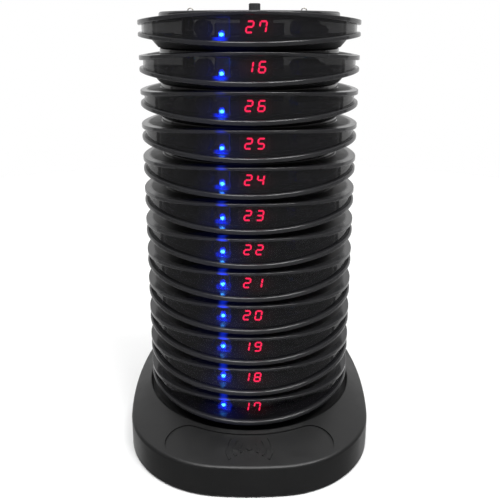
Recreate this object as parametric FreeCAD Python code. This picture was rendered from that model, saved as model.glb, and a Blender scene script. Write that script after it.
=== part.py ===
"""Stack of twelve round guest pagers standing on their charging base.

Millimetres, +Z up. The origin is on the stack's axis, on the surface that the base's feet stand on.
The displays face -Y. Every pager is modelled on its own level, with z = 0 at the underside of its foot,
and is then raised to its place in the stack.
"""

import FreeCAD, Part
import math
import os

from FreeCAD import Vector

# ---- Driving dimensions of the stack ----
pager_count = 12
pager_pitch = 15.94
first_foot_level = 20.8
seat_gap = 0.04
clearance = 0.3

# ---- Driving dimensions of one pager ----
disc_radius = 52.8
upper_lip_top = 12.1
upper_lip_top_rise = 3.3
upper_lip_bottom = 9.8
upper_lip_bottom_rise = 4.2
upper_lip_roundings = (0.35, 0.6)
lower_lip_top = 7.15
lower_lip_bottom = 5.05
lower_lip_drop = 3.6
lower_lip_roundings = (0.85, 0.5)
window_radius = 51.0
window_thickness = 1.1
spigot_radius = 48.6
plateau_radius = 42.9
plateau_rounding = 1.2
plateau_level = pager_pitch - seat_gap
flange_inner_level = 14.36
flange_crest_radius = 50.3
flange_wall = 1.6
plateau_wall = 2.2
foot_radius = 44.1
foot_edge = 0.6
foot_flare = 0.78
foot_wall = 2.0
bowl_top_level = 9.0
floor_level = 2.4
label_radius = 36.0
label_thickness = 0.5
label_recess = 0.6

# ---- Key post and its socket ----
post_x = 2.5
post_core_radius = 2.45
post_rib_radius = 0.3
post_rib_count = 12
post_height = 4.0
post_rib_step = 0.2
post_root = 1.5
socket_radius = 3.05
socket_depth = 4.4
socket_boss_radius = 4.4
socket_roof = 0.9

# ---- Charging contacts ----
contact_left_x = -28.0
contact_right_x = 26.0
contact_wire_radius = 0.25
contact_arch_radius = 1.25
contact_free_height = 2.06
contact_pressed_height = 0.95
contact_leg_length = 8.0
carrier_size = (4.2, 2.0, 1.2)
slot_length = 4.0
slot_width = 1.3
pad_pocket_radius = 3.6
pad_pocket_depth = 1.6
pad_radius = 3.3
pad_thickness = 0.45

# ---- Screws that close a pager ----
case_screw_circle = 36.0
case_screw_angles = (30.0, 150.0, 270.0)
case_boss_radius = 3.0
screw_shank_radius = 1.1
screw_hole_radius = 1.2
screw_head_radius = 2.3
screw_head_height = 1.1
screw_recess_arm = 1.4
screw_recess_width = 0.6
screw_recess_depth = 0.6
counterbore_radius = 2.6
counterbore_depth = 1.4
screw_length = 8.0

# ---- Inside of a pager ----
board_radius = 44.2
board_level = 3.4
board_thickness = 1.6
board_top = board_level + board_thickness
standoff_radius = 2.2
display_x = 2.9
display_width = 13.6
display_front = 48.6
display_depth = 4.6
display_top = 12.3
guide_low = (-13.5, -47.6)
guide_high = (-8.0, -46.6)
guide_top = 13.1
guide_arm_width = 2.0
guide_arm_back = -40.5
guide_arm_height = 1.0
charge_led_x = -11.6
charge_led_y = -41.6
led_radius = 1.3
led_height = 1.6
alert_led_circle = 40.5
alert_led_angles = (-20.0, 15.0, 50.0, 90.0, 130.0, 165.0, 200.0)
alert_led_size = 3.0
alert_led_height = 1.2
battery_size = (34.0, 27.0, 6.0)
battery_front = 5.5
battery_rounding = 1.2
motor_angle = -55.0
motor_circle = 42.0
motor_radius = 3.4
motor_length = 12.0
motor_level = 8.7
motor_shaft_radius = 0.5
motor_shaft_reach = 5.2
motor_weight_radius = 2.9
motor_weight_length = 4.0
motor_weight_gap = 0.6
motor_hub_radius = 1.3
motor_saddle = (5.0, 6.4)
shaft_clearance = 0.04
sounder_angle = -117.0
sounder_inner_circle = 40.5
sounder_length = 4.0
sounder_radius = 3.5
sounder_port_radius = 0.8
sounder_port_depth = 0.6
sounder_level = 8.7
sounder_stem = (3.2, 4.0)

# ---- Charging base ----
base_half_width = 62.1
base_half_length = 75.2
base_end_radius = 160.0
base_side_radius = 240.0
base_corner_radius = 49.0
base_underside = 1.0
base_edge_level = 15.8
base_edge_rounding = 1.6
base_wall = 2.2
base_ceiling = 12.9
nest_radius = 54.3
nest_level = 20.6
moat_level = 17.2
moat_slope = 1.4
moat_brim = 0.4
platform_level = first_foot_level - seat_gap
platform_wall = 2.2
base_floor_thickness = 2.0
base_floor_gap = 0.2
base_screw_x = 41.0
base_screw_y = 47.0
base_boss_radius = 3.2
base_screw_length = 9.0
base_foot_x = 44.0
base_foot_y = 33.0
base_foot_radius = 6.0
base_foot_height = 1.5
base_foot_gap = 0.1
base_foot_rounding = 0.4

# ---- Recessed panel in the front of the base, with a raised radio-wave mark ----
panel_rear_radius = 56.3
panel_end_radius = 9.3
panel_end_x = 30.5
panel_front = 72.0
panel_depth = 0.7
mark_y = -63.6
mark_height = 0.4
mark_dot_radius = 1.3
mark_arc_radii = (4.2, 7.4, 10.6)
mark_line = 1.1
mark_arc_angle = 34.0

# ---- Power inlet and circuit board of the base ----
inlet_level = 8.0
inlet_width = 10.6
inlet_height = 9.2
inlet_back = 72.9
inlet_depth = 12.0
inlet_nose_radius = 4.5
inlet_nose_end = 75.1
inlet_bore_radius = 3.0
inlet_bore_depth = 9.5
inlet_pin_radius = 1.0
inlet_pin_length = 8.0
port_radius = 4.7
base_board_size = (76.0, 52.0, 1.6)
base_board_level = 8.0

# ---- Reach of cutting shapes, and how near counts as touching ----
up = Vector(0, 0, 1)
back = Vector(0, 1, 0)
tall = 60.0
past = 1.0
touch = 0.05


# ---- Simple solids ----
def disc(radius, low, high, x=0.0, y=0.0):
    """Upright round solid between two levels."""
    return Part.makeCylinder(radius, high - low, Vector(x, y, low), up)


def ring(outer, inner, low, high):
    """Upright tube between two levels."""
    return disc(outer, low, high).cut(disc(inner, low, high))


def block(x_low, x_high, y_low, y_high, z_low, z_high):
    """Straight-sided solid between pairs of limits."""
    size = (x_high - x_low, y_high - y_low, z_high - z_low)
    return Part.makeBox(*size, Vector(x_low, y_low, z_low))


def slot(x, low, high):
    """Slot along X with round ends, cut down through a contact's place."""
    reach = (slot_length - slot_width) / 2
    shape = block(x - reach, x + reach, -slot_width / 2, slot_width / 2, low, high)
    for side in (-reach, reach):
        shape = shape.fuse(disc(slot_width / 2, low, high, x + side, 0))
    return shape.removeSplitter()


def turned(points):
    """Solid of revolution about Z from (radius, level) points."""
    outline = [Vector(radius, 0, level) for radius, level in points]
    wire = Part.makePolygon(outline + [outline[0]])
    return Part.Face(wire).revolve(Vector(0, 0, 0), up)


def rod(start, direction, radius, length):
    """Round bar from a point along any direction."""
    return Part.makeCylinder(radius, length, start, direction)


def polar(radius, degrees, level=0.0):
    """Point at a radius and an angle from +X, on a level."""
    angle = math.radians(degrees)
    return Vector(radius * math.cos(angle), radius * math.sin(angle), level)


def below_arch(side_level, rise):
    """Everything below an arched surface whose crest, or trough, runs along Y.

    The surface is at side_level where it meets the disc's edge at +X and -X, and rise higher at x = 0.
    """
    bend = (disc_radius**2 + rise**2) / (2 * abs(rise))
    span = disc_radius + 4
    drop = bend - math.sqrt(bend**2 - span**2)
    crest = side_level + rise
    shoulder = crest - math.copysign(drop, rise)
    left, right = Vector(-span, -span, shoulder), Vector(span, -span, shoulder)
    arch = Part.Arc(left, Vector(0, -span, crest), right).toShape()
    down = Vector(0, 0, -tall)
    sides = Part.makePolygon([right, right + down, left + down, left])
    return Part.Face(Part.Wire([arch] + sides.Edges)).extrude(Vector(0, 2 * span, 0))


def outer_edges(shape, radius):
    """Edges of a shape that lie on the upright cylinder of a given radius, seams left out."""
    found = []
    for edge in shape.Edges:
        ends = [edge.valueAt(edge.FirstParameter), edge.valueAt(edge.LastParameter)]
        middle = edge.valueAt((edge.FirstParameter + edge.LastParameter) / 2)
        on_rim = all(abs(math.hypot(p.x, p.y) - radius) < touch for p in ends + [middle])
        upright = math.hypot(ends[0].x - ends[1].x, ends[0].y - ends[1].y) < touch
        if on_rim and not (upright and abs(ends[0].z - ends[1].z) > touch):
            found.append(edge)
    return found


def rounded_lip(top, under, roundings):
    """Arched round plate between two arched surfaces, with its upper and lower rims rounded."""
    plate = disc(disc_radius, -tall, tall).common(top).cut(under)
    rims = outer_edges(plate, disc_radius)
    heights = [rim.BoundBox.ZMax for rim in rims]
    upper = [rim for rim, height in zip(rims, heights) if height > max(heights) - touch]
    plate = plate.makeFillet(roundings[0], upper)
    lower = [e for e in outer_edges(plate, disc_radius) if abs(e.BoundBox.ZMax - min(heights)) < touch]
    return plate.makeFillet(roundings[1], lower)


def screw(x, y, low, length):
    """Pan-headed screw, head down, with a cross recess."""
    head = disc(screw_head_radius, low, low + screw_head_height, x, y)
    shank = disc(screw_shank_radius, low + screw_head_height, low + length, x, y)
    body = head.fuse(shank)
    half, arm = screw_recess_width / 2, screw_recess_arm
    top = low + screw_recess_depth
    body = body.cut(block(x - arm, x + arm, y - half, y + half, low - past, top))
    return body.cut(block(x - half, x + half, y - arm, y + arm, low - past, top))


def contact_loop(x, plateau, height):
    """Bent-wire contact: an arch with two legs, standing in its small carrier."""
    apex = plateau + height
    centre = Vector(x, 0, apex - contact_wire_radius - contact_arch_radius)
    hoop = Part.makeTorus(contact_arch_radius, contact_wire_radius, centre, Vector(0, 1, 0))
    reach = 2 * contact_arch_radius
    hoop = hoop.common(block(x - reach, x + reach, -reach, reach, centre.z, apex + past))
    width, depth, thickness = carrier_size
    foot = centre.z - contact_leg_length
    carrier = block(x - width / 2, x + width / 2, -depth / 2, depth / 2, foot - thickness, foot)
    loop = hoop.fuse(carrier)
    for side in (-contact_arch_radius, contact_arch_radius):
        loop = loop.fuse(disc(contact_wire_radius, foot, centre.z, x + side, 0))
    return loop.removeSplitter()


# ---- The pieces of one pager ----
def key_post(level):
    """Ribbed round post that stands on a level, rooted below it, and keys one pager to the next."""
    low, high = level - post_root, level + post_height
    post = disc(post_core_radius, low, high, post_x, 0)
    for rib in range(post_rib_count):
        place = polar(post_core_radius, 360 * rib / post_rib_count)
        post = post.fuse(disc(post_rib_radius, low, high - post_rib_step, place.x + post_x, place.y))
    return post


def upper_lip_surfaces():
    """Everything below the upper lip's top face, and everything below its under face."""
    top = below_arch(upper_lip_top, upper_lip_top_rise)
    return top, below_arch(upper_lip_bottom, upper_lip_bottom_rise)


def lower_lip_surfaces():
    """Everything below the lower lip's top face, and everything below its under face."""
    top = below_arch(lower_lip_top, -lower_lip_drop)
    return top, below_arch(lower_lip_bottom, -lower_lip_drop)


def upper_case():
    """Upper half of the case: arched lip, dished flange, round plateau and key post."""
    top, under = upper_lip_surfaces()
    lip = rounded_lip(top, under, upper_lip_roundings).cut(disc(spigot_radius, 0, tall))
    crest = upper_lip_top + upper_lip_top_rise
    inner_ceiling = flange_inner_level - flange_wall
    joint_radius = spigot_radius + clearance
    arched = disc(joint_radius, 0, tall).cut(below_arch(upper_lip_top - flange_wall, upper_lip_top_rise))
    conical = turned([(0, inner_ceiling), (plateau_radius, inner_ceiling),
                      (joint_radius, crest - flange_wall), (joint_radius, tall), (0, tall)])
    case = lip.fuse(arched.common(top)).fuse(conical.common(top))
    case = case.cut(turned([(0, flange_inner_level), (plateau_radius, flange_inner_level),
                            (flange_crest_radius, crest + touch), (flange_crest_radius, tall), (0, tall)]))
    plateau = disc(plateau_radius, inner_ceiling, plateau_level)
    edge = [e for e in outer_edges(plateau, plateau_radius) if e.BoundBox.ZMin > plateau_level - touch]
    case = case.fuse(plateau.makeFillet(plateau_rounding, edge))
    case = case.cut(disc(plateau_radius - plateau_wall, -past, plateau_level - plateau_wall))
    case = case.cut(disc(label_radius, plateau_level - label_recess, tall)).fuse(key_post(plateau_level))
    for angle in case_screw_angles:
        place = polar(case_screw_circle, angle)
        boss = disc(case_boss_radius, floor_level, plateau_level - past, place.x, place.y)
        case = case.fuse(boss)
        case = case.cut(disc(screw_hole_radius, 0, screw_length + past, place.x, place.y))
    for x in (contact_left_x, contact_right_x):
        case = case.cut(slot(x, board_top, tall))
    return case.removeSplitter()


def window():
    """Smoked band between the lips, tall at the front and back and low at the sides."""
    band = ring(window_radius, window_radius - window_thickness, 0, tall)
    return band.common(upper_lip_surfaces()[1]).cut(lower_lip_surfaces()[0])


def lower_case():
    """Lower half of the case: foot, cone, arched lip, key socket and pockets for pads and screws."""
    top, under = lower_lip_surfaces()
    rim = foot_radius + foot_flare * bowl_top_level
    bowl = turned([(0, 0), (foot_radius - foot_edge, 0), (foot_radius, foot_edge),
                   (rim, bowl_top_level), (0, bowl_top_level)]).common(top)
    inside = turned([(0, floor_level), (foot_radius + foot_flare * floor_level - foot_wall, floor_level),
                     (rim - foot_wall, bowl_top_level), (0, bowl_top_level)])
    case = rounded_lip(top, under, lower_lip_roundings).fuse(bowl).cut(inside)
    root = floor_level - past
    case = case.fuse(disc(socket_boss_radius, root, socket_depth + socket_roof, post_x, 0))
    case = case.cut(disc(socket_radius, -past, socket_depth, post_x, 0))
    for angle in case_screw_angles:
        place = polar(case_screw_circle, angle)
        case = case.cut(disc(screw_hole_radius, -past, board_top, place.x, place.y))
        case = case.cut(disc(counterbore_radius, -past, counterbore_depth, place.x, place.y))
        rest = polar(case_screw_circle, angle + 60)
        case = case.fuse(disc(standoff_radius, root, board_level, rest.x, rest.y))
    for x in (contact_left_x, contact_right_x):
        case = case.cut(disc(pad_pocket_radius, -past, pad_pocket_depth, x, 0))
    return case.removeSplitter()


def contact_pads():
    """Two flat pads in the foot, which rest on the contacts of the pager below."""
    low = pad_pocket_depth - pad_thickness
    return [disc(pad_radius, low, pad_pocket_depth, x, 0) for x in (contact_left_x, contact_right_x)]


def case_screws():
    """Three screws that pull the two halves of the case together."""
    places = [polar(case_screw_circle, angle) for angle in case_screw_angles]
    low = counterbore_depth - screw_head_height
    return [screw(place.x, place.y, low, screw_length) for place in places]


def label_disc():
    """Thin round label in the plateau, with openings for the post and the two contacts."""
    low = plateau_level - label_recess
    label = disc(label_radius - clearance, low, low + label_thickness)
    label = label.cut(disc(post_core_radius + post_rib_radius + clearance, low - past, tall, post_x, 0))
    for x in (contact_left_x, contact_right_x):
        label = label.cut(slot(x, low - past, tall))
    return label


def circuit_board():
    """Round board on three stand-offs, cut away around the screw bosses and the key socket."""
    board = disc(board_radius, board_level, board_top)
    board = board.cut(disc(socket_boss_radius + 2 * clearance, 0, tall, post_x, 0))
    for angle in case_screw_angles:
        place = polar(case_screw_circle, angle)
        board = board.cut(disc(case_boss_radius + 2 * clearance, 0, tall, place.x, place.y))
    return board


def digit_display():
    """Two-digit display standing upright behind the window."""
    x_low = display_x - display_width / 2
    y_low = -display_front
    return block(x_low, x_low + display_width, y_low, y_low + display_depth, board_top, display_top)


def light_guide():
    """Clear plate that carries the charging light up behind the window, on an arm from the board."""
    x_low, y_low = guide_low
    x_high, y_high = guide_high
    plate = block(x_low, x_high, y_low, y_high, board_top, guide_top)
    arm_top = board_top + guide_arm_height
    arm = block(x_high - guide_arm_width, x_high, y_high, guide_arm_back, board_top, arm_top)
    return plate.fuse(arm).removeSplitter()


def charge_led():
    """Round charging light on the board."""
    dome = Part.makeSphere(led_radius, Vector(charge_led_x, charge_led_y, board_top + led_height))
    stem = disc(led_radius, board_top, board_top + led_height, charge_led_x, charge_led_y)
    return stem.fuse(dome).removeSplitter()


def alert_leds():
    """Ring of flat alert lights round the edge of the board."""
    half = alert_led_size / 2
    lights = []
    for angle in alert_led_angles:
        inner, outer = alert_led_circle - half, alert_led_circle + half
        light = block(inner, outer, -half, half, board_top, board_top + alert_led_height)
        light.rotate(Vector(0, 0, 0), up, angle)
        lights.append(light)
    return lights


def battery_pack():
    """Flat rechargeable pack with rounded long edges."""
    width, depth, height = battery_size
    pack = block(-width / 2, width / 2, battery_front, battery_front + depth, board_top, board_top + height)
    edges = [e for e in pack.Edges if abs(e.BoundBox.XLength - width) < touch]
    return pack.makeFillet(battery_rounding, edges)


def motor_axis():
    """Point at the middle of the vibration motor and the direction of its shaft."""
    return polar(motor_circle, motor_angle, motor_level), polar(1, motor_angle + 90)


def motor_can():
    """Vibration motor: round can with its shaft, in a saddle on the board."""
    middle, along = motor_axis()
    can = rod(middle - along * (motor_length / 2), along, motor_radius, motor_length)
    shaft = rod(middle, along, motor_shaft_radius, motor_length / 2 + motor_shaft_reach)
    half_width, half_length = motor_saddle[0] / 2, motor_saddle[1] / 2
    saddle = block(-half_width, half_width, -half_length, half_length, board_top, motor_level)
    saddle.rotate(Vector(0, 0, 0), up, motor_angle)
    saddle.translate(Vector(middle.x, middle.y, 0))
    return can.fuse(shaft).fuse(saddle).removeSplitter()


def motor_weight():
    """Half-round eccentric weight that turns on the motor's shaft."""
    middle, along = motor_axis()
    start = middle + along * (motor_length / 2 + motor_weight_gap)
    weight = rod(start, along, motor_weight_radius, motor_weight_length)
    upper_half = disc(2 * motor_weight_radius + motor_weight_length, motor_level, tall, start.x, start.y)
    weight = weight.cut(upper_half).fuse(rod(start, along, motor_hub_radius, motor_weight_length))
    return weight.cut(rod(start, along, motor_shaft_radius + shaft_clearance, motor_weight_length))


def sounder():
    """Small round sounder facing out, with a port in its face, on a stem to the board."""
    outward = polar(1, sounder_angle)
    back = polar(sounder_inner_circle, sounder_angle, sounder_level)
    body = rod(back, outward, sounder_radius, sounder_length)
    face = back + outward * (sounder_length - sounder_port_depth)
    body = body.cut(rod(face, outward, sounder_port_radius, sounder_port_depth + past))
    depth, width = sounder_stem
    start = (sounder_length - depth) / 2
    stem = block(start, start + depth, -width / 2, width / 2, board_top, sounder_level - width / 2)
    stem.rotate(Vector(0, 0, 0), up, sounder_angle)
    stem.translate(Vector(back.x, back.y, 0))
    return body.fuse(stem).removeSplitter()


# ---- The pieces of the charging base ----
def corner_centre():
    """Centre of a corner arc that is tangent to the side arc and the end arc."""
    side = Vector(base_half_width - base_side_radius, 0, 0)
    end = Vector(0, base_half_length - base_end_radius, 0)
    side_reach = base_side_radius - base_corner_radius
    end_reach = base_end_radius - base_corner_radius
    apart = (end - side).Length
    along = (side_reach**2 - end_reach**2 + apart**2) / (2 * apart)
    across = math.sqrt(side_reach**2 - along**2)
    line = (end - side).normalize()
    return side + line * along + Vector(-line.y, line.x, 0) * across


def outline_arcs(inset):
    """Centre, radius and start and end angles of the eight arcs of the base's outline."""
    corner = corner_centre()
    side_x = base_half_width - base_side_radius
    end_y = base_half_length - base_end_radius
    alpha = math.atan2(corner.y, corner.x - side_x)
    beta = math.atan2(corner.y - end_y, corner.x)
    side, end, bend = (r - inset for r in (base_side_radius, base_end_radius, base_corner_radius))
    turn = 2 * math.pi
    half = math.pi
    return [
        (side_x, 0, side, -alpha, alpha),
        (corner.x, corner.y, bend, alpha, beta),
        (0, end_y, end, beta, half - beta),
        (-corner.x, corner.y, bend, half - beta, half - alpha),
        (-side_x, 0, side, half - alpha, half + alpha),
        (-corner.x, -corner.y, bend, half + alpha, half + beta),
        (0, -end_y, end, half + beta, turn - beta),
        (corner.x, -corner.y, bend, turn - beta, turn - alpha),
    ]


def arc_edge(x, y, radius, start, stop, level):
    """Arc on a level, from one angle to another, in radians."""
    angles = (start, (start + stop) / 2, stop)
    points = [Vector(x + radius * math.cos(a), y + radius * math.sin(a), level) for a in angles]
    return Part.Arc(*points).toShape()


def outline_wire(inset, level):
    """The base's outline, set in by some distance, on a level."""
    return Part.Wire([arc_edge(*arc, level) for arc in outline_arcs(inset)])


def ring_wire(radius, level):
    """Circle on a level, in eight arcs that face the eight arcs of the outline."""
    angles = []
    for x, y, reach, start, _ in outline_arcs(0):
        angles.append(math.atan2(y + reach * math.sin(start), x + reach * math.cos(start)) % (2 * math.pi))
    angles[0] -= 2 * math.pi
    ends = angles[1:] + [angles[0] + 2 * math.pi]
    return Part.Wire([arc_edge(0, 0, radius, a, b, level) for a, b in zip(angles, ends)])


def outline_prism(inset, low, high):
    """Upright solid with the base's outline."""
    return Part.Face(outline_wire(inset, low)).extrude(Vector(0, 0, high - low))


def base_form():
    """Outer form of the base: upright wall, rounded edge and a top that rises to the nest's ring."""
    body = outline_prism(0, base_underside, base_edge_level)
    lid = Part.makeLoft([outline_wire(0, base_edge_level), ring_wire(nest_radius, nest_level)], True, True)
    form = body.fuse(lid).removeSplitter()
    edges = []
    for edge in form.Edges:
        box = edge.BoundBox
        if box.ZLength < touch and abs(box.ZMin - base_edge_level) < touch:
            edges.append(edge)
    return form.makeFillet(base_edge_rounding, edges)


def panel_outline():
    """Bean-shaped outline of the front panel, from four arcs that meet smoothly."""
    end_y = -math.sqrt((panel_rear_radius + panel_end_radius) ** 2 - panel_end_x**2)
    lift = panel_front + end_y
    front_radius = (panel_end_x**2 + lift**2 - panel_end_radius**2) / (2 * (lift - panel_end_radius))
    front_y = front_radius - panel_front
    rear_angle = math.atan2(end_y, panel_end_x)
    front_angle = math.atan2(end_y - front_y, panel_end_x)
    half = math.pi
    rear = arc_edge(0, 0, panel_rear_radius, -half - rear_angle, rear_angle, 0)
    right = arc_edge(panel_end_x, end_y, panel_end_radius, front_angle, half + rear_angle, 0)
    front = arc_edge(0, front_y, front_radius, -half - front_angle, front_angle, 0)
    left = arc_edge(-panel_end_x, end_y, panel_end_radius, -rear_angle, half - front_angle, 0)
    return Part.Wire([rear, right, front, left])


def wave_mark():
    """Upright solid of the mark: a dot between two sets of widening arcs."""
    mark = disc(mark_dot_radius, 0, tall, 0, mark_y)
    for radius in mark_arc_radii:
        band = ring(radius + mark_line / 2, radius - mark_line / 2, 0, tall).translated(Vector(0, mark_y, 0))
        wide = 2 * radius
        for side in (0, 180):
            corners = [Vector(0, mark_y, 0)]
            for swing in (-mark_arc_angle, mark_arc_angle):
                corners.append(Vector(0, mark_y, 0) + polar(wide, side + swing))
            wedge = Part.Face(Part.makePolygon(corners + corners[:1])).extrude(Vector(0, 0, tall))
            mark = mark.fuse(band.common(wedge))
    return mark


def base_screw_places():
    """The four corners where screws hold the base's floor."""
    return [(x, y) for x in (-base_screw_x, base_screw_x) for y in (-base_screw_y, base_screw_y)]


def nest_moat():
    """Ring-shaped trough round the platform, in which the lowest pager's rim hangs free."""
    brim = nest_radius - moat_brim
    outer = nest_radius - moat_slope
    return turned([(plateau_radius, moat_level), (outer - 2 * past, moat_level), (outer, moat_level + past),
                   (brim, nest_level + touch), (brim, tall), (plateau_radius, tall)])


def base_shell():
    """Upper shell of the base with the nest, platform, key post, front panel and inlet port."""
    form = base_form()
    shell = form.copy()
    sunk = form.translated(Vector(0, 0, -panel_depth))
    panel = Part.Face(panel_outline()).extrude(Vector(0, 0, tall))
    recess = panel.common(form).cut(sunk)
    raised = wave_mark().common(form.translated(Vector(0, 0, mark_height - panel_depth)))
    shell = shell.cut(recess.cut(raised))
    shell = shell.cut(nest_moat())
    platform = disc(plateau_radius, moat_level - past, platform_level)
    rim = [e for e in outer_edges(platform, plateau_radius) if e.BoundBox.ZMin > platform_level - touch]
    shell = shell.fuse(platform.makeFillet(plateau_rounding, rim)).fuse(key_post(platform_level))
    shell = shell.cut(outline_prism(base_wall, 0, base_ceiling))
    shell = shell.cut(disc(nest_radius - moat_slope - 2 * base_wall, 0, moat_level - base_wall))
    shell = shell.cut(disc(plateau_radius - platform_wall, 0, platform_level - platform_wall))
    wall = 3 * base_wall
    shell = shell.cut(rod(Vector(0, base_half_length - wall, inlet_level), back, port_radius, 2 * wall))
    for x, y in base_screw_places():
        low = base_underside + base_floor_thickness
        shell = shell.fuse(disc(base_boss_radius, low, base_ceiling + past, x, y))
        shell = shell.cut(disc(screw_hole_radius, 0, base_screw_length + past, x, y))
    for x in (contact_left_x, contact_right_x):
        shell = shell.cut(slot(x, base_ceiling, tall))
    return shell.removeSplitter()


def base_foot_places():
    """The four places where the rubber feet sit."""
    return [(x, y) for x in (-base_foot_x, base_foot_x) for y in (-base_foot_y, base_foot_y)]


def base_floor():
    """Flat floor of the base, with holes for the screws and shallow seats for the feet."""
    low, high = base_underside, base_underside + base_floor_thickness
    floor = outline_prism(base_wall + base_floor_gap, low, high)
    for x, y in base_screw_places():
        floor = floor.cut(disc(screw_hole_radius, low - past, high + past, x, y))
        floor = floor.cut(disc(counterbore_radius, low - past, low + counterbore_depth, x, y))
    for x, y in base_foot_places():
        floor = floor.cut(disc(base_foot_radius + base_foot_gap, low - past, base_foot_height, x, y))
    return floor


def base_feet():
    """Four round rubber feet."""
    feet = []
    for x, y in base_foot_places():
        foot = disc(base_foot_radius, 0, base_foot_height, x, y)
        edge = [e for e in foot.Edges if e.BoundBox.ZMax < touch]
        feet.append(foot.makeFillet(base_foot_rounding, edge))
    return feet


def base_screws():
    """Four screws that hold the floor to the shell."""
    low = base_underside + counterbore_depth - screw_head_height
    return [screw(x, y, low, base_screw_length - low) for x, y in base_screw_places()]


def base_board():
    """Charging circuit board of the base."""
    width, depth, thickness = base_board_size
    low = base_board_level
    return block(-width / 2, width / 2, -depth / 2, depth / 2, low, low + thickness)


def power_inlet():
    """Round low-voltage inlet in the back wall, open to the back with a pin in its bore."""
    half, low = inlet_width / 2, inlet_level - inlet_height / 2
    body = block(-half, half, inlet_back - inlet_depth, inlet_back, low, low + inlet_height)
    root = inlet_back - past
    inner = inlet_nose_end - inlet_bore_depth
    nose = rod(Vector(0, root, inlet_level), back, inlet_nose_radius, inlet_nose_end - root)
    bore = rod(Vector(0, inner, inlet_level), back, inlet_bore_radius, inlet_bore_depth + past)
    inlet = body.fuse(nose).cut(bore)
    pin = rod(Vector(0, inner - past, inlet_level), back, inlet_pin_radius, inlet_pin_length + past)
    return inlet.fuse(pin).removeSplitter()


# ---- Putting the stack together ----
def save(name, pieces, level=0.0):
    """Write one node, a single solid or a group of separate ones, raised to its level."""
    solids = []
    for piece in pieces if isinstance(pieces, list) else [pieces]:
        solids.extend(piece.translated(Vector(0, 0, level)).Solids)
    shape = solids[0] if len(solids) == 1 else Part.makeCompound(solids)
    if not shape.isValid():
        raise ValueError(name + " is not a valid solid")
    shape.exportStep("parts/" + name + ".step")


def foot_level(number):
    """Level of the foot of a pager, counted from 1 at the bottom of the stack."""
    return first_foot_level + pager_pitch * (number - 1)


def save_pagers():
    """Write all the pagers; the inner pieces of the top one are nodes of their own."""
    upper, band, lower = upper_case(), window(), lower_case()
    joined = [circuit_board(), battery_pack()] + contact_pads() + case_screws()
    for number in range(1, pager_count + 1):
        name = "pager_%02d_" % number
        level = foot_level(number)
        save(name + "upper_case", upper, level)
        save(name + "window", band, level)
        save(name + "lower_case", [lower] + (joined if number < pager_count else []), level)


def save_top_pager_pieces():
    """Write the inner and small pieces of the top pager."""
    level = foot_level(pager_count)
    save("label_disc", label_disc(), level)
    save("contact_loop_left", contact_loop(contact_left_x, plateau_level, contact_free_height), level)
    save("contact_loop_right", contact_loop(contact_right_x, plateau_level, contact_free_height), level)
    save("contact_pads", contact_pads(), level)
    save("case_screws", case_screws(), level)
    save("circuit_board", circuit_board(), level)
    save("digit_display", digit_display(), level)
    save("charge_led", charge_led(), level)
    save("light_guide", light_guide(), level)
    save("alert_leds", alert_leds(), level)
    save("battery_pack", battery_pack(), level)
    save("vibration_motor", motor_can(), level)
    save("eccentric_weight", motor_weight(), level)
    save("sounder", sounder(), level)


def save_base():
    """Write the pieces of the charging base."""
    save("base_shell", base_shell())
    save("base_floor", base_floor())
    save("base_feet", base_feet())
    save("base_screws", base_screws())
    save("base_board", base_board())
    save("power_inlet", power_inlet())
    save("base_contact_left", contact_loop(contact_left_x, platform_level, contact_pressed_height))
    save("base_contact_right", contact_loop(contact_right_x, platform_level, contact_pressed_height))


os.makedirs("parts", exist_ok=True)
save_pagers()
save_top_pager_pieces()
save_base()
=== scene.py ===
import math

import bmesh
import bpy
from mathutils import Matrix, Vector


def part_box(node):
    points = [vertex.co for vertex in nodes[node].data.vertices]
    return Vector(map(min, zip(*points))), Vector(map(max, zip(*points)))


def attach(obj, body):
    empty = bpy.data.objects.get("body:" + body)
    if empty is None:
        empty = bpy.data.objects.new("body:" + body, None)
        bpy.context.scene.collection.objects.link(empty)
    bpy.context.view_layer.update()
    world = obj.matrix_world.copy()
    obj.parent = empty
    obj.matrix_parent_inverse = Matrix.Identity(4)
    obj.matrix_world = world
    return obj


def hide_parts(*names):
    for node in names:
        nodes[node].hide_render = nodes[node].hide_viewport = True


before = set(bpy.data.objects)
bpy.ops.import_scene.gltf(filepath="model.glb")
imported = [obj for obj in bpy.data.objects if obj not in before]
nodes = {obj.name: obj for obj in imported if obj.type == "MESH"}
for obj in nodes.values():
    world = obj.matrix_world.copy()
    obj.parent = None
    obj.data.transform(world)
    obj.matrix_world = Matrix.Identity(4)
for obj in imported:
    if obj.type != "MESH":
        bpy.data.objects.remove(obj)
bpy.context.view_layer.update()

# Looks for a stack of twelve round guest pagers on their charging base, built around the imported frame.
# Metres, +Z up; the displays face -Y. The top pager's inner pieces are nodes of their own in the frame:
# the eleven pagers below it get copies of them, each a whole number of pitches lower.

MM = 0.001
scene = bpy.context.scene

# ---- What the frame says ----
TOP = 12
SHOWN_NUMBERS = (17, 18, 19, 20, 21, 22, 23, 24, 25, 26, 16, 27)


def foot_level(number):
    """Level of the underside of a pager, counted from 1 at the bottom."""
    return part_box(f"pager_{number:02d}_lower_case")[0].z


PITCH = (foot_level(TOP) - foot_level(1)) / (TOP - 1)
WINDOW_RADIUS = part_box("pager_12_window")[1].x
DISPLAY_LOW, DISPLAY_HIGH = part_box("digit_display")
DISPLAY_X = (DISPLAY_LOW.x + DISPLAY_HIGH.x) / 2
LED_LOW, LED_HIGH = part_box("charge_led")
LED_X = (LED_LOW.x + LED_HIGH.x) / 2
LED_Y = (LED_LOW.y + LED_HIGH.y) / 2
GUIDE_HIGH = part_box("light_guide")[1]
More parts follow.
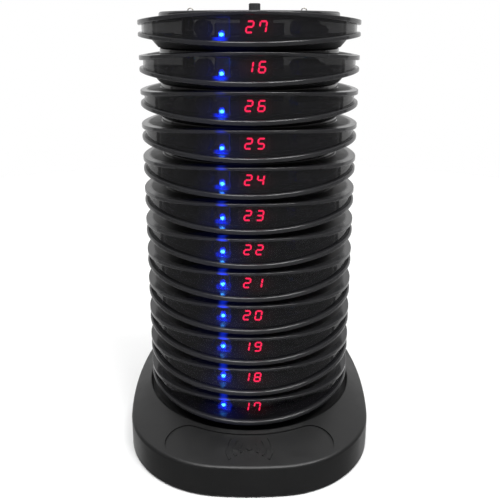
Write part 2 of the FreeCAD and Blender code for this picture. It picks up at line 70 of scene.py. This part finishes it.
# levels inside a pager are counted from its foot
LED_LEVEL = LED_LOW.z - foot_level(TOP) + 1.15 * MM
GUIDE_FOOT_LEVEL = LED_LEVEL - 0.75 * MM
GUIDE_TOP_LEVEL = GUIDE_HIGH.z - foot_level(TOP)
FLANGE_LEVEL = 14.7 * MM
PLATEAU_RADIUS = 42.9 * MM

# ---- The lower a pager stands, the further its inner pieces are turned towards -X ----
DISPLAY_TURN = math.radians(-2.2)
LIGHT_TURN = math.radians(-1.4)


def turn(number, most):
    """Angle for a pager, from nothing at the top one to most at the lowest one."""
    return most * (TOP - number) / (TOP - 1)


# ---- The lit digits ----
DIGIT_HEIGHT = 4.35 * MM
DIGIT_WIDTH = 2.65 * MM
DIGIT_SPACING = 5.35 * MM
DIGIT_SLANT = math.tan(math.radians(9))
DIGIT_LEVEL = 9.2 * MM
BAR_WIDTH = 0.74 * MM
BAR_GAP = 0.26 * MM
BAR_DEPTH = 0.12 * MM
ROUND_STEPS = 6
# each bar of a digit from one corner to another: across in half widths, up in half heights
BARS = {
    "a": ((-1, 1), (1, 1)), "b": ((1, 1), (1, 0)), "c": ((1, 0), (1, -1)), "d": ((-1, -1), (1, -1)),
    "e": ((-1, 0), (-1, -1)), "f": ((-1, 1), (-1, 0)), "g": ((-1, 0), (1, 0)),
}
GLYPHS = {
    "0": "abcdef", "1": "bc", "2": "abged", "3": "abgcd", "4": "fgbc",
    "5": "afgcd", "6": "afgedc", "7": "fabc", "8": "abcdefg", "9": "abfgcd",
}


# ---- Small helpers for node trees ----
class Finish:
    """A Principled material that is put together from procedural nodes in object space."""

    def __init__(self, name, **constants):
        self.material = bpy.data.materials.new(name)
        self.material.use_nodes = True
        self.tree = self.material.node_tree
        self.shader = self.tree.nodes["Principled BSDF"]
        self.place = self.tree.nodes.new("ShaderNodeTexCoord").outputs["Object"]
        for socket, value in constants.items():
            self.shader.inputs[socket.replace("_", " ")].default_value = value

    def link(self, source, target):
        """Plugs an output, or a plain number, into an input."""
        if isinstance(source, (int, float)):
            target.default_value = source
        else:
            self.tree.links.new(source, target)

    def feed(self, socket, source):
        """Drives one of the shader's sockets."""
        self.link(source, self.shader.inputs[socket])

    def math(self, operation, *values):
        """Result of one Math node."""
        node = self.tree.nodes.new("ShaderNodeMath")
        node.operation = operation
        for value, socket in zip(values, node.inputs):
            self.link(value, socket)
        return node.outputs[0]

    def noise(self, size, detail=3.0, roughness=0.55, stretch=(1, 1, 1)):
        """Noise whose grains are about size metres across."""
        mapping = self.tree.nodes.new("ShaderNodeMapping")
        mapping.inputs["Scale"].default_value = stretch
        self.link(self.place, mapping.inputs["Vector"])
        node = self.tree.nodes.new("ShaderNodeTexNoise")
        node.inputs["Scale"].default_value = 1 / size
        node.inputs["Detail"].default_value = detail
        node.inputs["Roughness"].default_value = roughness
        self.link(mapping.outputs[0], node.inputs["Vector"])
        return node.outputs["Fac"]

    def specks(self, spacing, size):
        """Scattered round specks, 1 inside a speck and 0 elsewhere."""
        node = self.tree.nodes.new("ShaderNodeTexVoronoi")
        node.inputs["Scale"].default_value = 1 / spacing
        self.link(self.place, node.inputs["Vector"])
        return self.fade(node.outputs["Distance"], size / spacing, 0.5 * size / spacing)

    def fade(self, value, start, end):
        """0 at start and before, 1 at end and beyond, smooth between."""
        node = self.tree.nodes.new("ShaderNodeMapRange")
        node.interpolation_type = "SMOOTHSTEP"
        node.inputs["From Min"].default_value = start
        node.inputs["From Max"].default_value = end
        self.link(value, node.inputs["Value"])
        return node.outputs[0]

    def spread(self, value, low, high, start=0.3, end=0.7):
        """Maps a noise's usual range to low..high."""
        node = self.tree.nodes.new("ShaderNodeMapRange")
        node.inputs["From Min"].default_value = start
        node.inputs["From Max"].default_value = end
        node.inputs["To Min"].default_value = low
        node.inputs["To Max"].default_value = high
        self.link(value, node.inputs["Value"])
        return node.outputs[0]

    def blend(self, share, first, second):
        """Colour between two others, each an output or an (r, g, b)."""
        node = self.tree.nodes.new("ShaderNodeMix")
        node.data_type = "RGBA"
        self.link(share, node.inputs["Factor"])
        for colour, socket in ((first, node.inputs["A"]), (second, node.inputs["B"])):
            if isinstance(colour, tuple):
                socket.default_value = (*colour, 1)
            else:
                self.link(colour, socket)
        return node.outputs["Result"]

    def axes(self):
        """The place's x, y and z."""
        node = self.tree.nodes.new("ShaderNodeSeparateXYZ")
        self.link(self.place, node.inputs[0])
        return node.outputs[0], node.outputs[1], node.outputs[2]

    def radius(self):
        """Distance from the stack's axis."""
        x, y, _ = self.axes()
        return self.math("SQRT", self.math("ADD", self.math("MULTIPLY", x, x), self.math("MULTIPLY", y, y)))

    def own_level(self):
        """Height above the foot of the pager that the place is in."""
        _, _, z = self.axes()
        return self.math("FLOORED_MODULO", self.math("SUBTRACT", z, foot_level(1)), PITCH)

    def near(self, value, centre, reach):
        """1 at the centre, falling smoothly to 0 at reach to either side."""
        away = self.math("ABSOLUTE", self.math("SUBTRACT", value, centre))
        return self.fade(away, reach, 0)

    def bump(self, height, depth, strength=1.0, under=None):
        """Raises the surface by a height map, over an earlier bump if there is one."""
        node = self.tree.nodes.new("ShaderNodeBump")
        node.inputs["Strength"].default_value = strength
        node.inputs["Distance"].default_value = depth
        self.link(height, node.inputs["Height"])
        if under is not None:
            self.link(under, node.inputs["Normal"])
        return node.outputs[0]


def spot(f, x, level, centre, reach):
    """1 at a point of the pagers' fronts, falling smoothly to 0 at an oval round it."""
    squares = []
    for value, middle, limit in zip((x, level), centre, reach):
        away = f.math("DIVIDE", f.math("SUBTRACT", value, middle), limit)
        squares.append(f.math("MULTIPLY", away, away))
    return f.fade(f.math("SQRT", f.math("ADD", *squares)), 1, 0)


def in_front(f, y, depth):
    """1 in front of a plane across the pagers and 0 behind it."""
    return f.fade(y, depth + 1.5 * MM, depth - 1.5 * MM)


# ---- Materials ----
def case_black():
    """Satin black ABS: fine grain, faint swirls from handling, polished lips; painted light: lighter colour
    in the gaps under the lips, where shade falls, and a painted blue glint and glow of the charging light on
    the flange and fronts.
    """
    f = Finish("case_black", Specular_IOR_Level=0.5)
    x, y, z = f.axes()
    level, radius = f.own_level(), f.radius()
    outward = f.fade(radius, WINDOW_RADIUS - 2.5 * MM, WINDOW_RADIUS - 0.5 * MM)
    inward = f.math("SUBTRACT", 1, outward)
    cloud = f.noise(18 * MM, 4)
    colour = f.blend(f.spread(cloud, 0, 1), (0.014, 0.014, 0.0155), (0.021, 0.021, 0.0225))
    # Painted light: the colour turns lighter in the gaps under the lips, where shade falls, standing in for
    # light that reaches them.
    film = f.math("MULTIPLY", inward, f.fade(level, 6 * MM, 4 * MM))
    colour = f.blend(f.math("MULTIPLY", film, 0.9), colour, (0.055, 0.055, 0.058))
    dust = f.specks(2.6 * MM, 0.09 * MM)
    colour = f.blend(f.math("MULTIPLY", dust, 0.5), colour, (0.10, 0.10, 0.10))
    f.feed("Base Color", colour)
    rub = f.spread(f.noise(6 * MM, 5, stretch=(1, 1, 0.2)), -0.04, 0.04)
    wall = f.near(radius, PLATEAU_RADIUS, 0.5 * MM)
    satin = f.math("ADD", f.math("MULTIPLY", outward, -0.26), f.math("MULTIPLY", wall, -0.31))
    f.feed("Roughness", f.math("ADD", f.math("ADD", satin, 0.41), rub))
    grain = f.bump(f.noise(0.22 * MM, 2), 0.012 * MM, 0.4)
    f.feed("Normal", f.bump(f.noise(3.5 * MM, 3), 0.02 * MM, 0.3, grain))
    # Painted light: emission paints a blue glint of the charging light above on the flange of the lower
    # pagers, and a faint blue wash on the fronts near the charging light.
    flange = f.math("MULTIPLY", in_front(f, y, -46 * MM), f.fade(z, 0.20, 0.09))
    painted_glint_spot = spot(f, x, level, (LED_X - 0.3 * MM, FLANGE_LEVEL), (3.4 * MM, 0.8 * MM))
    painted_glint_strip = f.math("MULTIPLY", flange, painted_glint_spot)
    painted_blue_wash = f.math("MULTIPLY", in_front(f, y, -40 * MM), f.near(x, LED_X, 22 * MM))
    light = f.math("ADD", f.math("MULTIPLY", painted_glint_strip, 1.5), f.math("MULTIPLY", painted_blue_wash, 0.006))
    f.shader.inputs["Emission Color"].default_value = (0.005, 0.04, 1.0, 1)
    f.feed("Emission Strength", light)
    return f.material


def smoked_window():
    """Glossy smoked acrylic band: dark tint that lets bright lights through, faint wipe marks and dust, and a
    painted blue glow in front of the charging light and a painted red glow in front of the digits.
    """
    f = Finish("smoked_window", Alpha=0.62, IOR=1.49, Specular_IOR_Level=0.72)
    tint = f.spread(f.noise(30 * MM, 2), 0, 1)
    f.feed("Base Color", f.blend(tint, (0.004, 0.004, 0.005), (0.0065, 0.006, 0.008)))
    wipes = f.spread(f.noise(5 * MM, 5, 0.65, stretch=(0.25, 0.25, 1.6)), 0.015, 0.055)
    dust = f.specks(3.4 * MM, 0.08 * MM)
    f.feed("Roughness", f.math("ADD", wipes, f.math("MULTIPLY", dust, 0.12)))
    f.feed("Normal", f.bump(f.noise(9 * MM, 2), 0.02 * MM, 0.25))
    x, y, _ = f.axes()
    front = in_front(f, y, -44 * MM)
    level = f.own_level()
    # Painted light: soft blue and red glows painted as emission on the window's front, round the charging
    # light and the digits.
    blue = f.math("MULTIPLY", spot(f, x, level, (LED_X, LED_LEVEL), (15 * MM, 10 * MM)), 0.022)
    red = f.math("MULTIPLY", spot(f, x, level, (DISPLAY_X, DIGIT_LEVEL), (11 * MM, 6 * MM)), 0.012)
    painted_glows = f.math("ADD", red, blue)
    red_share = f.math("DIVIDE", red, f.math("ADD", painted_glows, 0.0001))
    f.feed("Emission Color", f.blend(red_share, (0.002, 0.012, 1.0), (1.0, 0.10, 0.16)))
    f.feed("Emission Strength", f.math("MULTIPLY", front, painted_glows))
    return f.material


def base_black():
    """Matte black base with a visible fine moulded texture and slightly greyer wear on it."""
    f = Finish("base_black", Specular_IOR_Level=0.45)
    cloud = f.noise(25 * MM, 5)
    colour = f.blend(f.spread(cloud, 0, 1), (0.0042, 0.0042, 0.0044), (0.0065, 0.0065, 0.0067))
    grains = f.noise(0.5 * MM, 3, 0.7)
    colour = f.blend(f.spread(grains, 0, 0.35, 0.45, 0.75), colour, (0.02, 0.02, 0.02))
    dust = f.specks(3.1 * MM, 0.14 * MM)
    f.feed("Base Color", f.blend(f.math("MULTIPLY", dust, 0.5), colour, (0.09, 0.09, 0.088)))
    f.feed("Roughness", f.spread(f.noise(8 * MM, 4), 0.36, 0.44))
    texture = f.bump(f.noise(0.42 * MM, 2, 0.6), 0.05 * MM, 0.55)
    f.feed("Normal", f.bump(f.noise(4 * MM, 3), 0.02 * MM, 0.3, texture))
    return f.material


def rubber_black():
    """Soft dark rubber of the feet, with bloom in patches."""
    f = Finish("rubber_black", Specular_IOR_Level=0.3)
    bloom = f.spread(f.noise(2.5 * MM, 4), 0, 1)
    f.feed("Base Color", f.blend(bloom, (0.012, 0.012, 0.012), (0.03, 0.03, 0.031)))
    f.feed("Roughness", f.spread(f.noise(1.5 * MM, 3), 0.72, 0.9))
    f.feed("Normal", f.bump(f.noise(0.35 * MM, 2), 0.04 * MM, 0.6))
    return f.material


def steel(name, light, dark, roughness):
    """Plated steel with fine drawing lines and small dull patches."""
    f = Finish(name, Metallic=1.0)
    patch = f.spread(f.noise(1.2 * MM, 4), 0, 1)
    f.feed("Base Color", f.blend(patch, dark, light))
    lines = f.noise(0.5 * MM, 3, stretch=(1, 1, 9))
    f.feed("Roughness", f.spread(lines, roughness - 0.07, roughness + 0.09))
    f.feed("Normal", f.bump(lines, 0.006 * MM, 0.5))
    return f.material


def board_green():
    """Solder-masked board: green with copper tracks showing through as lighter bands and tinned pads, and a
    painted pool of blue light round the charging light.
    """
    f = Finish("board_green", Specular_IOR_Level=0.5, Coat_Weight=0.3, Coat_Roughness=0.2)
    x, y, _ = f.axes()
    tracks = None
    for axis, other in ((x, y), (y, x)):
        lane = f.math("FRACT", f.math("DIVIDE", axis, 1.9 * MM))
        stripe = f.near(lane, 0.5, 0.2)
        run = f.spread(f.noise(7 * MM, 1, stretch=(1, 1, 0.1)), 0, 1, 0.48, 0.52)
        part = f.math("MULTIPLY", stripe, run if axis is x else f.math("SUBTRACT", 1, run))
        tracks = part if tracks is None else f.math("MAXIMUM", tracks, part)
    mask = f.blend(tracks, (0.004, 0.035, 0.016), (0.008, 0.075, 0.03))
    pads = f.specks(4.4 * MM, 0.5 * MM)
    f.feed("Base Color", f.blend(pads, mask, (0.5, 0.5, 0.47)))
    f.feed("Metallic", f.math("MULTIPLY", pads, 0.9))
    f.feed("Roughness", f.spread(f.noise(4 * MM, 3), 0.28, 0.42))
    f.feed("Normal", f.bump(tracks, 0.035 * MM, 0.8))
    # Painted light: a pool of blue light from the charging light, painted as emission on the board round it.
    painted_led_light_pool = spot(f, x, y, (LED_X - 0.4 * MM, LED_Y), (4.2 * MM, 4.0 * MM))
    f.shader.inputs["Emission Color"].default_value = (0.0, 0.02, 1.0, 1)
    f.feed("Emission Strength", f.math("MULTIPLY", painted_led_light_pool, 12.0))
    return f.material


def contact_nickel():
    """Nickel-plated contact, bright with brownish patches where it is touched."""
    f = Finish("contact_nickel", Metallic=1.0)
    patch = f.spread(f.noise(0.9 * MM, 4), 0, 1, 0.4, 0.75)
    f.feed("Base Color", f.blend(patch, (0.66, 0.63, 0.57), (0.38, 0.33, 0.26)))
    f.feed("Roughness", f.spread(f.noise(0.5 * MM, 3), 0.16, 0.36))
    f.feed("Normal", f.bump(f.noise(0.3 * MM, 2), 0.006 * MM, 0.5))
    return f.material


def label_black():
    """Printed polyester label: dark grey, fine weave of the ink, two thin lighter rings near its rim."""
    f = Finish("label_black", Specular_IOR_Level=0.5, Coat_Weight=0.25, Coat_Roughness=0.35)
    cloud = f.spread(f.noise(12 * MM, 4), 0, 1)
    colour = f.blend(cloud, (0.020, 0.020, 0.022), (0.030, 0.030, 0.033))
    radius = f.radius()
    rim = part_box("label_disc")[1].x
    outer_ring = f.near(radius, rim - 2.2 * MM, 0.22 * MM)
    rings = f.math("MAXIMUM", outer_ring, f.near(radius, rim - 3.4 * MM, 0.14 * MM))
    f.feed("Base Color", f.blend(f.math("MULTIPLY", rings, 0.8), colour, (0.20, 0.20, 0.21)))
    f.feed("Roughness", f.spread(f.noise(2 * MM, 4), 0.38, 0.52))
    f.feed("Normal", f.bump(f.noise(0.25 * MM, 2), 0.01 * MM, 0.5))
    return f.material


def display_face():
    """Dark red-brown potting of the digit display, faintly lit round the digits."""
    f = Finish("display_face", Specular_IOR_Level=0.4)
    cloud = f.spread(f.noise(1.5 * MM, 3), 0, 1)
    f.feed("Base Color", f.blend(cloud, (0.030, 0.012, 0.012), (0.045, 0.018, 0.018)))
    f.feed("Roughness", f.spread(f.noise(1 * MM, 2), 0.45, 0.6))
    f.feed("Normal", f.bump(f.noise(0.3 * MM, 2), 0.01 * MM, 0.4))
    return f.material


def lit_bar(name, colour, strength):
    """A lit bar of a digit, its glow varying a little at random along it."""
    f = Finish(name, Roughness=0.5)
    f.feed("Base Color", f.blend(f.spread(f.noise(1 * MM, 2), 0, 1), (0.35, 0.02, 0.03), (0.45, 0.03, 0.05)))
    glow = f.spread(f.noise(0.9 * MM, 2), 0.8 * strength, 1.15 * strength)
    f.shader.inputs["Emission Color"].default_value = (*colour, 1)
    f.feed("Emission Strength", glow)
    return f.material


def led_blue():
    """Blue charging light: a deep blue dome with a paler, much stronger heart."""
    f = Finish("led_blue", Roughness=0.15)
    f.feed("Base Color", f.blend(f.spread(f.noise(0.8 * MM, 2), 0, 1), (0.1, 0.2, 0.8), (0.2, 0.4, 1.0)))
    x, _, _ = f.axes()
    heart = spot(f, x, f.own_level(), (LED_X, LED_LEVEL), (1.7 * MM, 1.4 * MM))
    f.feed("Emission Color", f.blend(f.fade(heart, 0.1, 0.6), (0.0, 0.02, 1.0), (0.05, 0.34, 1.0)))
    f.feed("Emission Strength", f.math("ADD", f.math("MULTIPLY", heart, 60), 14.0))
    return f.material


def guide_clear():
    """Clear light guide in front of the charging light: faintly grey body, with a painted blue glow on its
    foot and rims and a faint painted glow all over.
    """
    f = Finish("guide_clear", Alpha=0.3, Specular_IOR_Level=0.5, Roughness=0.2)
    f.feed("Base Color", f.blend(f.spread(f.noise(2 * MM, 3), 0, 1), (0.10, 0.10, 0.13), (0.18, 0.18, 0.22)))
    f.feed("Normal", f.bump(f.noise(0.8 * MM, 2), 0.01 * MM, 0.4))
    x, _, _ = f.axes()
    level = f.own_level()
    # Painted light: emission makes the foot and the right and top rims glow blue, and the whole guide glow
    # faintly.
    foot = f.math("MULTIPLY", f.near(x, LED_X, 4.5 * MM), f.near(level, GUIDE_FOOT_LEVEL, 0.7 * MM))
    right_rim = f.near(x, GUIDE_HIGH.x, 0.5 * MM)
    top_rim = f.near(level, GUIDE_TOP_LEVEL, 0.35 * MM)
    rims = f.math("MULTIPLY", f.math("MAXIMUM", right_rim, top_rim), f.spread(f.noise(1.2 * MM, 2), 0.1, 1.0))
    lit = f.math("ADD", f.math("MULTIPLY", foot, 1.6), f.math("MULTIPLY", rims, 3.2))
    f.feed("Emission Color", f.blend(f.fade(lit, 0.0, 0.4), (0.45, 0.45, 1.0), (0.0, 0.03, 1.0)))
    f.feed("Emission Strength", f.math("ADD", lit, 0.12))
    return f.material


def led_red():
    """Unlit alert light: milky reddish body."""
    f = Finish("led_red", Specular_IOR_Level=0.5)
    cloud = f.spread(f.noise(0.9 * MM, 3), 0, 1)
    f.feed("Base Color", f.blend(cloud, (0.45, 0.32, 0.30), (0.62, 0.50, 0.46)))
    f.feed("Roughness", f.spread(f.noise(0.6 * MM, 2), 0.22, 0.4))
    f.feed("Normal", f.bump(f.noise(0.5 * MM, 2), 0.01 * MM, 0.4))
    return f.material


def battery_wrap():
    """Shrink-wrapped battery: dark blue film with wrinkles."""
    f = Finish("battery_wrap", Specular_IOR_Level=0.5, Coat_Weight=0.4, Coat_Roughness=0.15)
    film = f.spread(f.noise(6 * MM, 3), 0, 1)
    f.feed("Base Color", f.blend(film, (0.010, 0.020, 0.055), (0.020, 0.035, 0.085)))
    f.feed("Roughness", f.spread(f.noise(3 * MM, 3), 0.25, 0.4))
    f.feed("Normal", f.bump(f.noise(2.5 * MM, 4, stretch=(0.3, 1, 1)), 0.12 * MM, 0.6))
    return f.material


def pale_floor():
    """Plain pale floor of the studio."""
    f = Finish("pale_floor", Specular_IOR_Level=0.1)
    f.feed("Base Color", f.blend(f.spread(f.noise(0.4, 2), 0, 1), (0.83, 0.83, 0.83), (0.86, 0.86, 0.86)))
    f.feed("Roughness", f.spread(f.noise(0.05, 2), 0.85, 0.95))
    return f.material


FINISHES = {
    "case_black": case_black(),
    "smoked_window": smoked_window(),
    "base_black": base_black(),
    "rubber_black": rubber_black(),
    "screw_steel": steel("screw_steel", (0.50, 0.50, 0.50), (0.33, 0.33, 0.34), 0.3),
    "board_green": board_green(),
    "inlet_black": case_black(),
    "contact_nickel": contact_nickel(),
    "label_black": label_black(),
    "display_face": display_face(),
    "led_blue": led_blue(),
    "guide_clear": guide_clear(),
    "led_red": led_red(),
    "battery_wrap": battery_wrap(),
    "motor_steel": steel("motor_steel", (0.60, 0.60, 0.61), (0.45, 0.45, 0.46), 0.26),
}


def paint_frame():
    """Gives every node of the frame the finish of its slot."""
    for node in nodes.values():
        for place in node.material_slots:
            place.material = FINISHES[place.material.name.split(".")[0]]


# ---- Pieces ----
def add_piece(name, mesh, body):
    """A piece that rides on a body."""
    piece = bpy.data.objects.new(name, mesh)
    scene.collection.objects.link(piece)
    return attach(piece, body)


INNER_NODES = {
    "label_disc": "label_black", "contact_pads": "contact_nickel", "case_screws": "screw_steel",
    "circuit_board": "board_green", "digit_display": "display_face", "charge_led": "led_blue",
    "light_guide": "guide_clear", "alert_leds": "led_red", "battery_pack": "battery_wrap",
    "vibration_motor": "motor_steel", "eccentric_weight": "motor_steel", "sounder": "inlet_black",
}
TURNED = {"digit_display": DISPLAY_TURN, "charge_led": LIGHT_TURN, "light_guide": LIGHT_TURN}


def copy_node(node, number):
    """The same piece as the top pager's, in a pager further down."""
    name = node.replace("pager_12_", "")
    piece = bpy.data.objects.new(f"pager_{number:02d}_{name}_copy", nodes[node].data)
    scene.collection.objects.link(piece)
    piece.location.z = -PITCH * (TOP - number)
    piece.rotation_euler.z = turn(number, TURNED.get(node, 0))
    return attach(piece, f"pager_{number:02d}")


def fill_lower_pagers():
    """Inner pieces of the pagers under the top one; their lower case stands apart from its board and pads."""
    for number in range(1, TOP):
        shell = copy_node("pager_12_lower_case", number)
        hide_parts(f"pager_{number:02d}_lower_case")
        for node, slot in INNER_NODES.items():
            copy_node(node, number)
        for side in ("left", "right"):
            loop = copy_node("base_contact_" + side, number)
            loop.location.z = foot_level(number + 1) - foot_level(1)


def bar_outline(start, end):
    """Round-ended outline of a bar between two points."""
    along = (end - start).normalized()
    across = Vector((-along.y, along.x))
    half = BAR_WIDTH / 2
    points = []
    for centre, forward in ((start, -along), (end, along)):
        side = across if forward == -along else -across
        for step in range(ROUND_STEPS + 1):
            angle = math.pi * step / ROUND_STEPS
            points.append(centre + side * half * math.cos(angle) + forward * half * math.sin(angle))
    return points


def digit_bars(text):
    """Start and end of every lit bar of a number, in metres from the middle of the display's face."""
    for place, figure in enumerate(text):
        middle = Vector(((place - 0.5) * DIGIT_SPACING, 0))
        for bar in GLYPHS[figure]:
            ends = [Vector((x * DIGIT_WIDTH / 2, z * DIGIT_HEIGHT / 2)) for x, z in BARS[bar]]
            along = (ends[1] - ends[0]).normalized() * (BAR_WIDTH / 2 + BAR_GAP / 2)
            start, end = ends[0] + along, ends[1] - along
            for point in (start, end):
                point.x += point.y * DIGIT_SLANT
            yield middle + start, middle + end


def digits_mesh(number, text):
    """The lit bars of a number as thin raised shapes on the display's face."""
    mesh = bpy.data.meshes.new(f"pager_{number:02d}_digits")
    shape = bmesh.new()
    level = foot_level(number) + DIGIT_LEVEL
    back = DISPLAY_LOW.y
    for start, end in digit_bars(text):
        outline = bar_outline(start, end)
        front = [shape.verts.new((DISPLAY_X + p.x, back - BAR_DEPTH, level + p.y)) for p in outline]
        rear = [shape.verts.new((DISPLAY_X + p.x, back + BAR_DEPTH / 2, level + p.y)) for p in outline]
        shape.faces.new(front)
        shape.faces.new(list(reversed(rear)))
        for i in range(len(outline)):
            j = (i + 1) % len(outline)
            shape.faces.new((front[i], rear[i], rear[j], front[j]))
    bmesh.ops.recalc_face_normals(shape, faces=shape.faces)
    shape.to_mesh(mesh)
    shape.free()
    return mesh


def add_digits():
    """The lit number of every pager."""
    lit = lit_bar("digit_lit", (1.0, 0.012, 0.085), 8.0)
    for number, shown in enumerate(SHOWN_NUMBERS, 1):
        mesh = digits_mesh(number, str(shown))
        mesh.materials.append(lit)
        piece = add_piece(f"pager_{number:02d}_digits", mesh, f"pager_{number:02d}")
        piece.rotation_euler.z = turn(number, DISPLAY_TURN)
        bevel = piece.modifiers.new("soft_rim", "BEVEL")
        bevel.width = 0.04 * MM
        bevel.segments = 2


# ---- Studio: light levels by the angle away from straight behind the stack ----
WALL_HALF_ANGLE = 60.0
WALL_LIGHT = 0.78
TRIM_LIGHT = 0.15
FRAME_LIGHT = 0.45
ROOM_LIGHT = 0.22
FLOOR_RADIUS = 0.65
LAMP_AIM = (0, 0, 0.1)
CAMERA_PLACE = (0.0, -0.3159, 0.2057)
CAMERA_DIP = math.radians(15.78)
CAMERA_LENS = 45.77
CAMERA_SHIFT = (0.0014, -0.0888)


def studio_world():
    """Bright wall behind the stack and a dim room in front of it, on a plain white background."""
    world = bpy.data.worlds.new("studio")
    scene.world = world
    world.use_nodes = True
    tree = world.node_tree
    tree.nodes.clear()
    new, link = tree.nodes.new, tree.links.new
    place = new("ShaderNodeTexCoord")
    axes = new("ShaderNodeSeparateXYZ")
    link(place.outputs["Generated"], axes.inputs[0])

    def calc(operation, *values):
        node = new("ShaderNodeMath")
        node.operation = operation
        for value, socket in zip(values, node.inputs):
            if isinstance(value, (int, float)):
                socket.default_value = value
            else:
                link(value, socket)
        return node.outputs[0]

    x, y, z = axes.outputs
    across = calc("SQRT", calc("ADD", calc("MULTIPLY", x, x), calc("MULTIPLY", y, y)))
    angle = calc("ARCCOSINE", calc("DIVIDE", y, calc("MAXIMUM", across, 0.001)))

    def step(start, end, low, high):
        """Smooth change of the light from one angle, in degrees away from straight behind, to another."""
        node = new("ShaderNodeMapRange")
        node.interpolation_type = "SMOOTHSTEP"
        for socket, value in zip(list(node.inputs)[1:5], (math.radians(start), math.radians(end), low, high)):
            socket.default_value = value
        link(angle, node.inputs[0])
        return node.outputs[0]

    light = step(WALL_HALF_ANGLE - 1, WALL_HALF_ANGLE + 1, WALL_LIGHT, TRIM_LIGHT)
    light = calc("ADD", light, step(WALL_HALF_ANGLE + 6, WALL_HALF_ANGLE + 7, 0, FRAME_LIGHT - TRIM_LIGHT))
    light = calc("ADD", light, step(WALL_HALF_ANGLE + 9, WALL_HALF_ANGLE + 10, 0, ROOM_LIGHT - FRAME_LIGHT))
    path = new("ShaderNodeLightPath")
    seen = path.outputs["Is Camera Ray"]
    unseen = calc("SUBTRACT", 1.0, seen)
    strength = calc("ADD", calc("MULTIPLY", light, unseen), seen)
    glow = new("ShaderNodeBackground")
    glow.inputs["Color"].default_value = (1, 1, 1, 1)
    link(strength, glow.inputs["Strength"])
    link(glow.outputs[0], new("ShaderNodeOutputWorld").inputs[0])


def softbox(name, place, width, height, power):
    """Soft rectangular lamp that faces the stack."""
    data = bpy.data.lights.new(name, "AREA")
    data.shape = "RECTANGLE"
    data.size = width
    data.size_y = height
    data.energy = power
    lamp = bpy.data.objects.new(name, data)
    lamp.location = place
    lamp.rotation_euler = (Vector(LAMP_AIM) - Vector(place)).to_track_quat("-Z", "Y").to_euler()
    scene.collection.objects.link(lamp)


def floor():
    """Large pale sheet that the base stands on."""
    mesh = bpy.data.meshes.new("floor")
    shape = bmesh.new()
    bmesh.ops.create_circle(shape, cap_ends=True, segments=96, radius=FLOOR_RADIUS)
    shape.to_mesh(mesh)
    shape.free()
    mesh.materials.append(pale_floor())
    sheet = bpy.data.objects.new("floor", mesh)
    sheet.visible_glossy = False
    scene.collection.objects.link(sheet)


def camera():
    """Phone camera a third of a metre in front, just above the top pager, looking down a little."""
    data = bpy.data.cameras.new("camera")
    data.sensor_width = 36.0
    data.lens = CAMERA_LENS
    data.shift_x, data.shift_y = CAMERA_SHIFT
    data.clip_start = 0.01
    data.dof.use_dof = False
    eye = bpy.data.objects.new("camera", data)
    eye.location = CAMERA_PLACE
    eye.rotation_euler = (math.pi / 2 - CAMERA_DIP, 0, 0)
    scene.collection.objects.link(eye)
    scene.camera = eye


paint_frame()
fill_lower_pagers()
add_digits()
studio_world()
floor()
softbox("top_lamp", (0.0, -0.2, 3.0), width=2.2, height=2.2, power=50.0)
softbox("left_lamp", (-0.35, -1.35, 2.4), width=1.2, height=0.3, power=34.0)
softbox("right_lamp", (1.10, -0.95, 2.4), width=1.5, height=0.3, power=40.0)
camera()
scene.view_settings.view_transform = "Standard"
